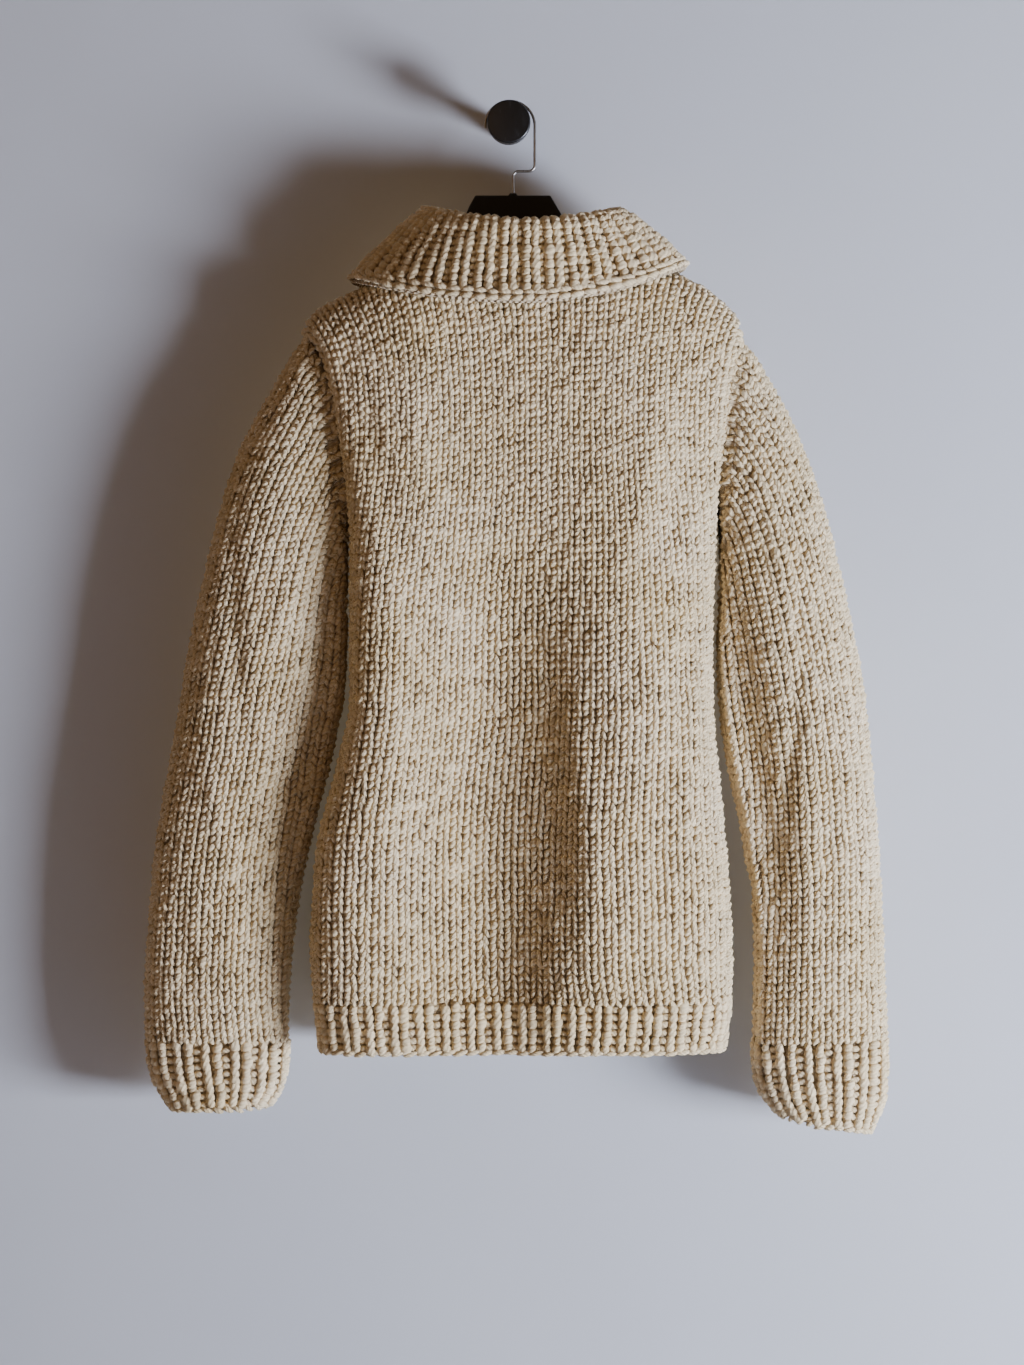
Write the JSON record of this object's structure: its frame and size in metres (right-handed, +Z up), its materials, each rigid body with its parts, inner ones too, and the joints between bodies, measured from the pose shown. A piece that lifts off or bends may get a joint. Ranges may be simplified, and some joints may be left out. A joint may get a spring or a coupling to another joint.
{
  "type": "sweater on a hanger on a wall peg",
  "caption": "Chunky hand-knit wool pullover with folded ribbed collar, ribbed hem and cuffs, hung back outwards on a flat hanger from a round wall peg.",
  "frame": {"origin": "middle of the peg's flat back face, on the wall", "axes": "+Y out of the object into the wall, +Z up, +X to the right of someone who looks at the garment's back"},
  "size_m": [0.645, 0.1341, 0.8966],
  "materials": {
    "plain_knit_wool": "thick-and-thin handspun wool in plain knit, soft and matt",
    "ribbed_wool": "the same wool in ribs of one knit and one purl stitch",
    "black_hanger_plastic": "moulded, matt black",
    "steel_wire": "drawn and bent wire, satin",
    "black_peg_finish": "turned, semi-gloss black"
  },
  "bodies": {
    "root": {"back": "plain_knit_wool", "front": "plain_knit_wool", "sleeve_left": "plain_knit_wool", "sleeve_right": "plain_knit_wool", "hem_back": "ribbed_wool", "hem_front": "ribbed_wool", "cuff_left": "ribbed_wool", "cuff_right": "ribbed_wool", "collar": "ribbed_wool", "hanger": "black_hanger_plastic", "hanger_hook": "steel_wire", "wall_peg": "black_peg_finish"}
  },
  "joints": []
}
